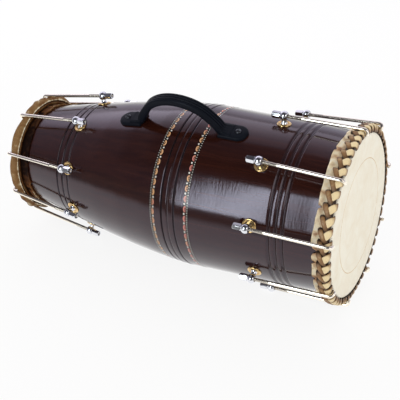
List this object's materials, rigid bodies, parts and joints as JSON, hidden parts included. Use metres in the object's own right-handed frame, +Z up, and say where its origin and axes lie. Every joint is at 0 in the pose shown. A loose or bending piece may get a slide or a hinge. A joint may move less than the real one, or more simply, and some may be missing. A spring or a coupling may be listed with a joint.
{
  "type": "dholki hand drum",
  "caption": "Two-headed barrel hand drum with a large plaited-rim head, a small rolled-rim head, chromed hook bolts with tuning nuts, and a moulded carrying handle.",
  "frame": {"origin": "centre of the bounding box on the plane that the drum's three lowest eyes rest on", "axes": "+X towards the large head along the drum, +Z up with the handle near the top, the drum's own axis tipping down a little towards the small head"},
  "size_m": [0.5018, 0.2426, 0.2545],
  "materials": {
    "shell_wood": "turned hardwood stained deep red-brown under clear gloss lacquer",
    "rawhide": "scraped pale rawhide, matte",
    "plaited_hide": "plaited raw hide strips, smooth and slightly shiny",
    "wrapped_hide": "tan hide rolled round a hoop, dull",
    "handle_plastic": "moulded black plastic, satin",
    "chrome": "chrome-plated steel, polished on the eyes and duller on the rods"
  },
  "bodies": {
    "drum": {"shell": "shell_wood", "bass_skin": "rawhide", "bass_gajra": "plaited_hide", "treble_skin": "rawhide", "treble_rim": "wrapped_hide", "handle": "handle_plastic", "bass_eye_bolt_1": "chrome", "bass_eye_bolt_2": "chrome", "bass_eye_bolt_3": "chrome", "bass_eye_bolt_4": "chrome", "bass_eye_bolt_5": "chrome", "bass_eye_bolt_6": "chrome", "bass_eye_bolt_7": "chrome", "bass_eye_bolt_8": "chrome", "bass_eye_bolt_9": "chrome", "treble_eye_bolt_1": "chrome", "treble_eye_bolt_2": "chrome", "treble_eye_bolt_3": "chrome", "treble_eye_bolt_4": "chrome", "treble_eye_bolt_5": "chrome", "treble_eye_bolt_6": "chrome", "treble_eye_bolt_7": "chrome", "treble_eye_bolt_8": "chrome", "treble_eye_bolt_9": "chrome"},
    "bass_tuning_nut_1": {"bass_tuning_nut_1": "chrome"},
    "bass_hook_bolt_1": {"bass_hook_bolt_1": "chrome"},
    "bass_tuning_nut_2": {"bass_tuning_nut_2": "chrome"},
    "bass_hook_bolt_2": {"bass_hook_bolt_2": "chrome"},
    "bass_tuning_nut_3": {"bass_tuning_nut_3": "chrome"},
    "bass_hook_bolt_3": {"bass_hook_bolt_3": "chrome"},
    "bass_tuning_nut_4": {"bass_tuning_nut_4": "chrome"},
    "bass_hook_bolt_4": {"bass_hook_bolt_4": "chrome"},
    "bass_tuning_nut_5": {"bass_tuning_nut_5": "chrome"},
    "bass_hook_bolt_5": {"bass_hook_bolt_5": "chrome"},
    "bass_tuning_nut_6": {"bass_tuning_nut_6": "chrome"},
    "bass_hook_bolt_6": {"bass_hook_bolt_6": "chrome"},
    "bass_tuning_nut_7": {"bass_tuning_nut_7": "chrome"},
    "bass_hook_bolt_7": {"bass_hook_bolt_7": "chrome"},
    "bass_tuning_nut_8": {"bass_tuning_nut_8": "chrome"},
    "bass_hook_bolt_8": {"bass_hook_bolt_8": "chrome"},
    "bass_tuning_nut_9": {"bass_tuning_nut_9": "chrome"},
    "bass_hook_bolt_9": {"bass_hook_bolt_9": "chrome"},
    "treble_tuning_nut_1": {"treble_tuning_nut_1": "chrome"},
    "treble_hook_bolt_1": {"treble_hook_bolt_1": "chrome"},
    "treble_tuning_nut_2": {"treble_tuning_nut_2": "chrome"},
    "treble_hook_bolt_2": {"treble_hook_bolt_2": "chrome"},
    "treble_tuning_nut_3": {"treble_tuning_nut_3": "chrome"},
    "treble_hook_bolt_3": {"treble_hook_bolt_3": "chrome"},
    "treble_tuning_nut_4": {"treble_tuning_nut_4": "chrome"},
    "treble_hook_bolt_4": {"treble_hook_bolt_4": "chrome"},
    "treble_tuning_nut_5": {"treble_tuning_nut_5": "chrome"},
    "treble_hook_bolt_5": {"treble_hook_bolt_5": "chrome"},
    "treble_tuning_nut_6": {"treble_tuning_nut_6": "chrome"},
    "treble_hook_bolt_6": {"treble_hook_bolt_6": "chrome"},
    "treble_tuning_nut_7": {"treble_tuning_nut_7": "chrome"},
    "treble_hook_bolt_7": {"treble_hook_bolt_7": "chrome"},
    "treble_tuning_nut_8": {"treble_tuning_nut_8": "chrome"},
    "treble_hook_bolt_8": {"treble_hook_bolt_8": "chrome"},
    "treble_tuning_nut_9": {"treble_tuning_nut_9": "chrome"},
    "treble_hook_bolt_9": {"treble_hook_bolt_9": "chrome"}
  },
  "joints": [
    {"name": "bass_tuning_nut_1_turn", "type": "hinge", "parent": "drum", "child": "bass_tuning_nut_1", "pos_m": [0.13576, 0.07521, 0.20554], "axis": [-0.9854, 0.1156, -0.1251], "range_deg": [0, 2520]},
    {"name": "bass_hook_bolt_1_slide", "type": "slide", "parent": "drum", "child": "bass_hook_bolt_1", "axis": [0.9854, -0.1156, 0.1251], "range_m": [0, 0.0056]},
    {"name": "bass_tuning_nut_2_turn", "type": "hinge", "parent": "drum", "child": "bass_tuning_nut_2", "pos_m": [0.13448, 0, 0.23289], "axis": [-0.9995, 0, -0.0327], "range_deg": [0, 2520]},
    {"name": "bass_hook_bolt_2_slide", "type": "slide", "parent": "drum", "child": "bass_hook_bolt_2", "axis": [0.9995, 0, 0.0327], "range_m": [0, 0.0056]},
    {"name": "bass_tuning_nut_3_turn", "type": "hinge", "parent": "drum", "child": "bass_tuning_nut_3", "pos_m": [0.13576, -0.07521, 0.20554], "axis": [-0.9997, 0.0242, -0.008], "range_deg": [0, 2520]},
    {"name": "bass_hook_bolt_3_slide", "type": "slide", "parent": "drum", "child": "bass_hook_bolt_3", "axis": [0.9997, -0.0242, 0.008], "range_m": [0, 0.0056]},
    {"name": "bass_tuning_nut_4_turn", "type": "hinge", "parent": "drum", "child": "bass_tuning_nut_4", "pos_m": [0.13902, -0.11523, 0.13631], "axis": [-0.9996, -0.011, -0.0273], "range_deg": [0, 2520]},
    {"name": "bass_hook_bolt_4_slide", "type": "slide", "parent": "drum", "child": "bass_hook_bolt_4", "axis": [0.9996, 0.011, 0.0273], "range_m": [0, 0.0056]},
    {"name": "bass_tuning_nut_5_turn", "type": "hinge", "parent": "drum", "child": "bass_tuning_nut_5", "pos_m": [0.14272, -0.10133, 0.05757], "axis": [-0.9971, 0.0007, -0.0767], "range_deg": [0, 2520]},
    {"name": "bass_hook_bolt_5_slide", "type": "slide", "parent": "drum", "child": "bass_hook_bolt_5", "axis": [0.9971, -0.0007, 0.0767], "range_m": [0, 0.0056]},
    {"name": "bass_tuning_nut_6_turn", "type": "hinge", "parent": "drum", "child": "bass_tuning_nut_6", "pos_m": [0.14513, -0.04002, 0.00618], "axis": [-0.9982, -0.0049, -0.0604], "range_deg": [0, 2520]},
    {"name": "bass_hook_bolt_6_slide", "type": "slide", "parent": "drum", "child": "bass_hook_bolt_6", "axis": [0.9982, 0.0049, 0.0604], "range_m": [0, 0.0056]},
    {"name": "bass_tuning_nut_7_turn", "type": "hinge", "parent": "drum", "child": "bass_tuning_nut_7", "pos_m": [0.14513, 0.04002, 0.00618], "axis": [-0.997, -0.0279, -0.0722], "range_deg": [0, 2520]},
    {"name": "bass_hook_bolt_7_slide", "type": "slide", "parent": "drum", "child": "bass_hook_bolt_7", "axis": [0.997, 0.0279, 0.0722], "range_m": [0, 0.0056]},
    {"name": "bass_tuning_nut_8_turn", "type": "hinge", "parent": "drum", "child": "bass_tuning_nut_8", "pos_m": [0.14272, 0.10133, 0.05757], "axis": [-0.9985, 0.0124, -0.0541], "range_deg": [0, 2520]},
    {"name": "bass_hook_bolt_8_slide", "type": "slide", "parent": "drum", "child": "bass_hook_bolt_8", "axis": [0.9985, -0.0124, 0.0541], "range_m": [0, 0.0056]},
    {"name": "bass_tuning_nut_9_turn", "type": "hinge", "parent": "drum", "child": "bass_tuning_nut_9", "pos_m": [0.13902, 0.11523, 0.13631], "axis": [-0.9989, 0.0141, -0.0445], "range_deg": [0, 2520]},
    {"name": "bass_hook_bolt_9_slide", "type": "slide", "parent": "drum", "child": "bass_hook_bolt_9", "axis": [0.9989, -0.0141, 0.0445], "range_m": [0, 0.0056]},
    {"name": "treble_tuning_nut_1_turn", "type": "hinge", "parent": "drum", "child": "treble_tuning_nut_1", "pos_m": [-0.14285, 0.07528, 0.16595], "axis": [0.9844, 0.0883, 0.1524], "range_deg": [0, 2520]},
    {"name": "treble_hook_bolt_1_slide", "type": "slide", "parent": "drum", "child": "treble_hook_bolt_1", "axis": [-0.9844, -0.0883, -0.1524], "range_m": [0, 0.0056]},
    {"name": "treble_tuning_nut_2_turn", "type": "hinge", "parent": "drum", "child": "treble_tuning_nut_2", "pos_m": [-0.14442, 0.01707, 0.19953], "axis": [0.9831, 0.0099, 0.1825], "range_deg": [0, 2520]},
    {"name": "treble_hook_bolt_2_slide", "type": "slide", "parent": "drum", "child": "treble_hook_bolt_2", "axis": [-0.9831, -0.0099, -0.1825], "range_m": [0, 0.0056]},
    {"name": "treble_tuning_nut_3_turn", "type": "hinge", "parent": "drum", "child": "treble_tuning_nut_3", "pos_m": [-0.14388, -0.04914, 0.18787], "axis": [0.9844, -0.092, 0.15], "range_deg": [0, 2520]},
    {"name": "treble_hook_bolt_3_slide", "type": "slide", "parent": "drum", "child": "treble_hook_bolt_3", "axis": [-0.9844, 0.092, -0.15], "range_m": [0, 0.0056]},
    {"name": "treble_tuning_nut_4_turn", "type": "hinge", "parent": "drum", "child": "treble_tuning_nut_4", "pos_m": [-0.14146, -0.09235, 0.13643], "axis": [0.9882, -0.1348, 0.0733], "range_deg": [0, 2520]},
    {"name": "treble_hook_bolt_4_slide", "type": "slide", "parent": "drum", "child": "treble_hook_bolt_4", "axis": [-0.9882, 0.1348, -0.0733], "range_m": [0, 0.0056]},
    {"name": "treble_tuning_nut_5_turn", "type": "hinge", "parent": "drum", "child": "treble_tuning_nut_5", "pos_m": [-0.1383, -0.09235, 0.06928], "axis": [0.9922, -0.1241, -0.0097], "range_deg": [0, 2520]},
    {"name": "treble_hook_bolt_5_slide", "type": "slide", "parent": "drum", "child": "treble_hook_bolt_5", "axis": [-0.9922, 0.1241, 0.0097], "range_m": [0, 0.0056]},
    {"name": "treble_tuning_nut_6_turn", "type": "hinge", "parent": "drum", "child": "treble_tuning_nut_6", "pos_m": [-0.13588, -0.04914, 0.01784], "axis": [0.9954, -0.0589, -0.0762], "range_deg": [0, 2520]},
    {"name": "treble_hook_bolt_6_slide", "type": "slide", "parent": "drum", "child": "treble_hook_bolt_6", "axis": [-0.9954, 0.0589, 0.0762], "range_m": [0, 0.0056]},
    {"name": "treble_tuning_nut_7_turn", "type": "hinge", "parent": "drum", "child": "treble_tuning_nut_7", "pos_m": [-0.13534, 0.01707, 0.00618], "axis": [0.9959, 0.0236, -0.0871], "range_deg": [0, 2520]},
    {"name": "treble_hook_bolt_7_slide", "type": "slide", "parent": "drum", "child": "treble_hook_bolt_7", "axis": [-0.9959, -0.0236, 0.0871], "range_m": [0, 0.0056]},
    {"name": "treble_tuning_nut_8_turn", "type": "hinge", "parent": "drum", "child": "treble_tuning_nut_8", "pos_m": [-0.13691, 0.07528, 0.03976], "axis": [0.9937, 0.1041, -0.0407], "range_deg": [0, 2520]},
    {"name": "treble_hook_bolt_8_slide", "type": "slide", "parent": "drum", "child": "treble_hook_bolt_8", "axis": [-0.9937, -0.1041, 0.0407], "range_m": [0, 0.0056]},
    {"name": "treble_tuning_nut_9_turn", "type": "hinge", "parent": "drum", "child": "treble_tuning_nut_9", "pos_m": [-0.13988, 0.09827, 0.10286], "axis": [0.9896, 0.1358, 0.0465], "range_deg": [0, 2520]},
    {"name": "treble_hook_bolt_9_slide", "type": "slide", "parent": "drum", "child": "treble_hook_bolt_9", "axis": [-0.9896, -0.1358, -0.0465], "range_m": [0, 0.0056]}
  ],
  "couplings": [
    {"joint": "bass_tuning_nut_1_turn", "follows": "bass_hook_bolt_1_slide", "rad_per_m": 7854},
    {"joint": "bass_tuning_nut_2_turn", "follows": "bass_hook_bolt_2_slide", "rad_per_m": 7854},
    {"joint": "bass_tuning_nut_3_turn", "follows": "bass_hook_bolt_3_slide", "rad_per_m": 7854},
    {"joint": "bass_tuning_nut_4_turn", "follows": "bass_hook_bolt_4_slide", "rad_per_m": 7854},
    {"joint": "bass_tuning_nut_5_turn", "follows": "bass_hook_bolt_5_slide", "rad_per_m": 7854},
    {"joint": "bass_tuning_nut_6_turn", "follows": "bass_hook_bolt_6_slide", "rad_per_m": 7854},
    {"joint": "bass_tuning_nut_7_turn", "follows": "bass_hook_bolt_7_slide", "rad_per_m": 7854},
    {"joint": "bass_tuning_nut_8_turn", "follows": "bass_hook_bolt_8_slide", "rad_per_m": 7854},
    {"joint": "bass_tuning_nut_9_turn", "follows": "bass_hook_bolt_9_slide", "rad_per_m": 7854},
    {"joint": "treble_tuning_nut_1_turn", "follows": "treble_hook_bolt_1_slide", "rad_per_m": 7854},
    {"joint": "treble_tuning_nut_2_turn", "follows": "treble_hook_bolt_2_slide", "rad_per_m": 7854},
    {"joint": "treble_tuning_nut_3_turn", "follows": "treble_hook_bolt_3_slide", "rad_per_m": 7854},
    {"joint": "treble_tuning_nut_4_turn", "follows": "treble_hook_bolt_4_slide", "rad_per_m": 7854},
    {"joint": "treble_tuning_nut_5_turn", "follows": "treble_hook_bolt_5_slide", "rad_per_m": 7854},
    {"joint": "treble_tuning_nut_6_turn", "follows": "treble_hook_bolt_6_slide", "rad_per_m": 7854},
    {"joint": "treble_tuning_nut_7_turn", "follows": "treble_hook_bolt_7_slide", "rad_per_m": 7854},
    {"joint": "treble_tuning_nut_8_turn", "follows": "treble_hook_bolt_8_slide", "rad_per_m": 7854},
    {"joint": "treble_tuning_nut_9_turn", "follows": "treble_hook_bolt_9_slide", "rad_per_m": 7854}
  ]
}
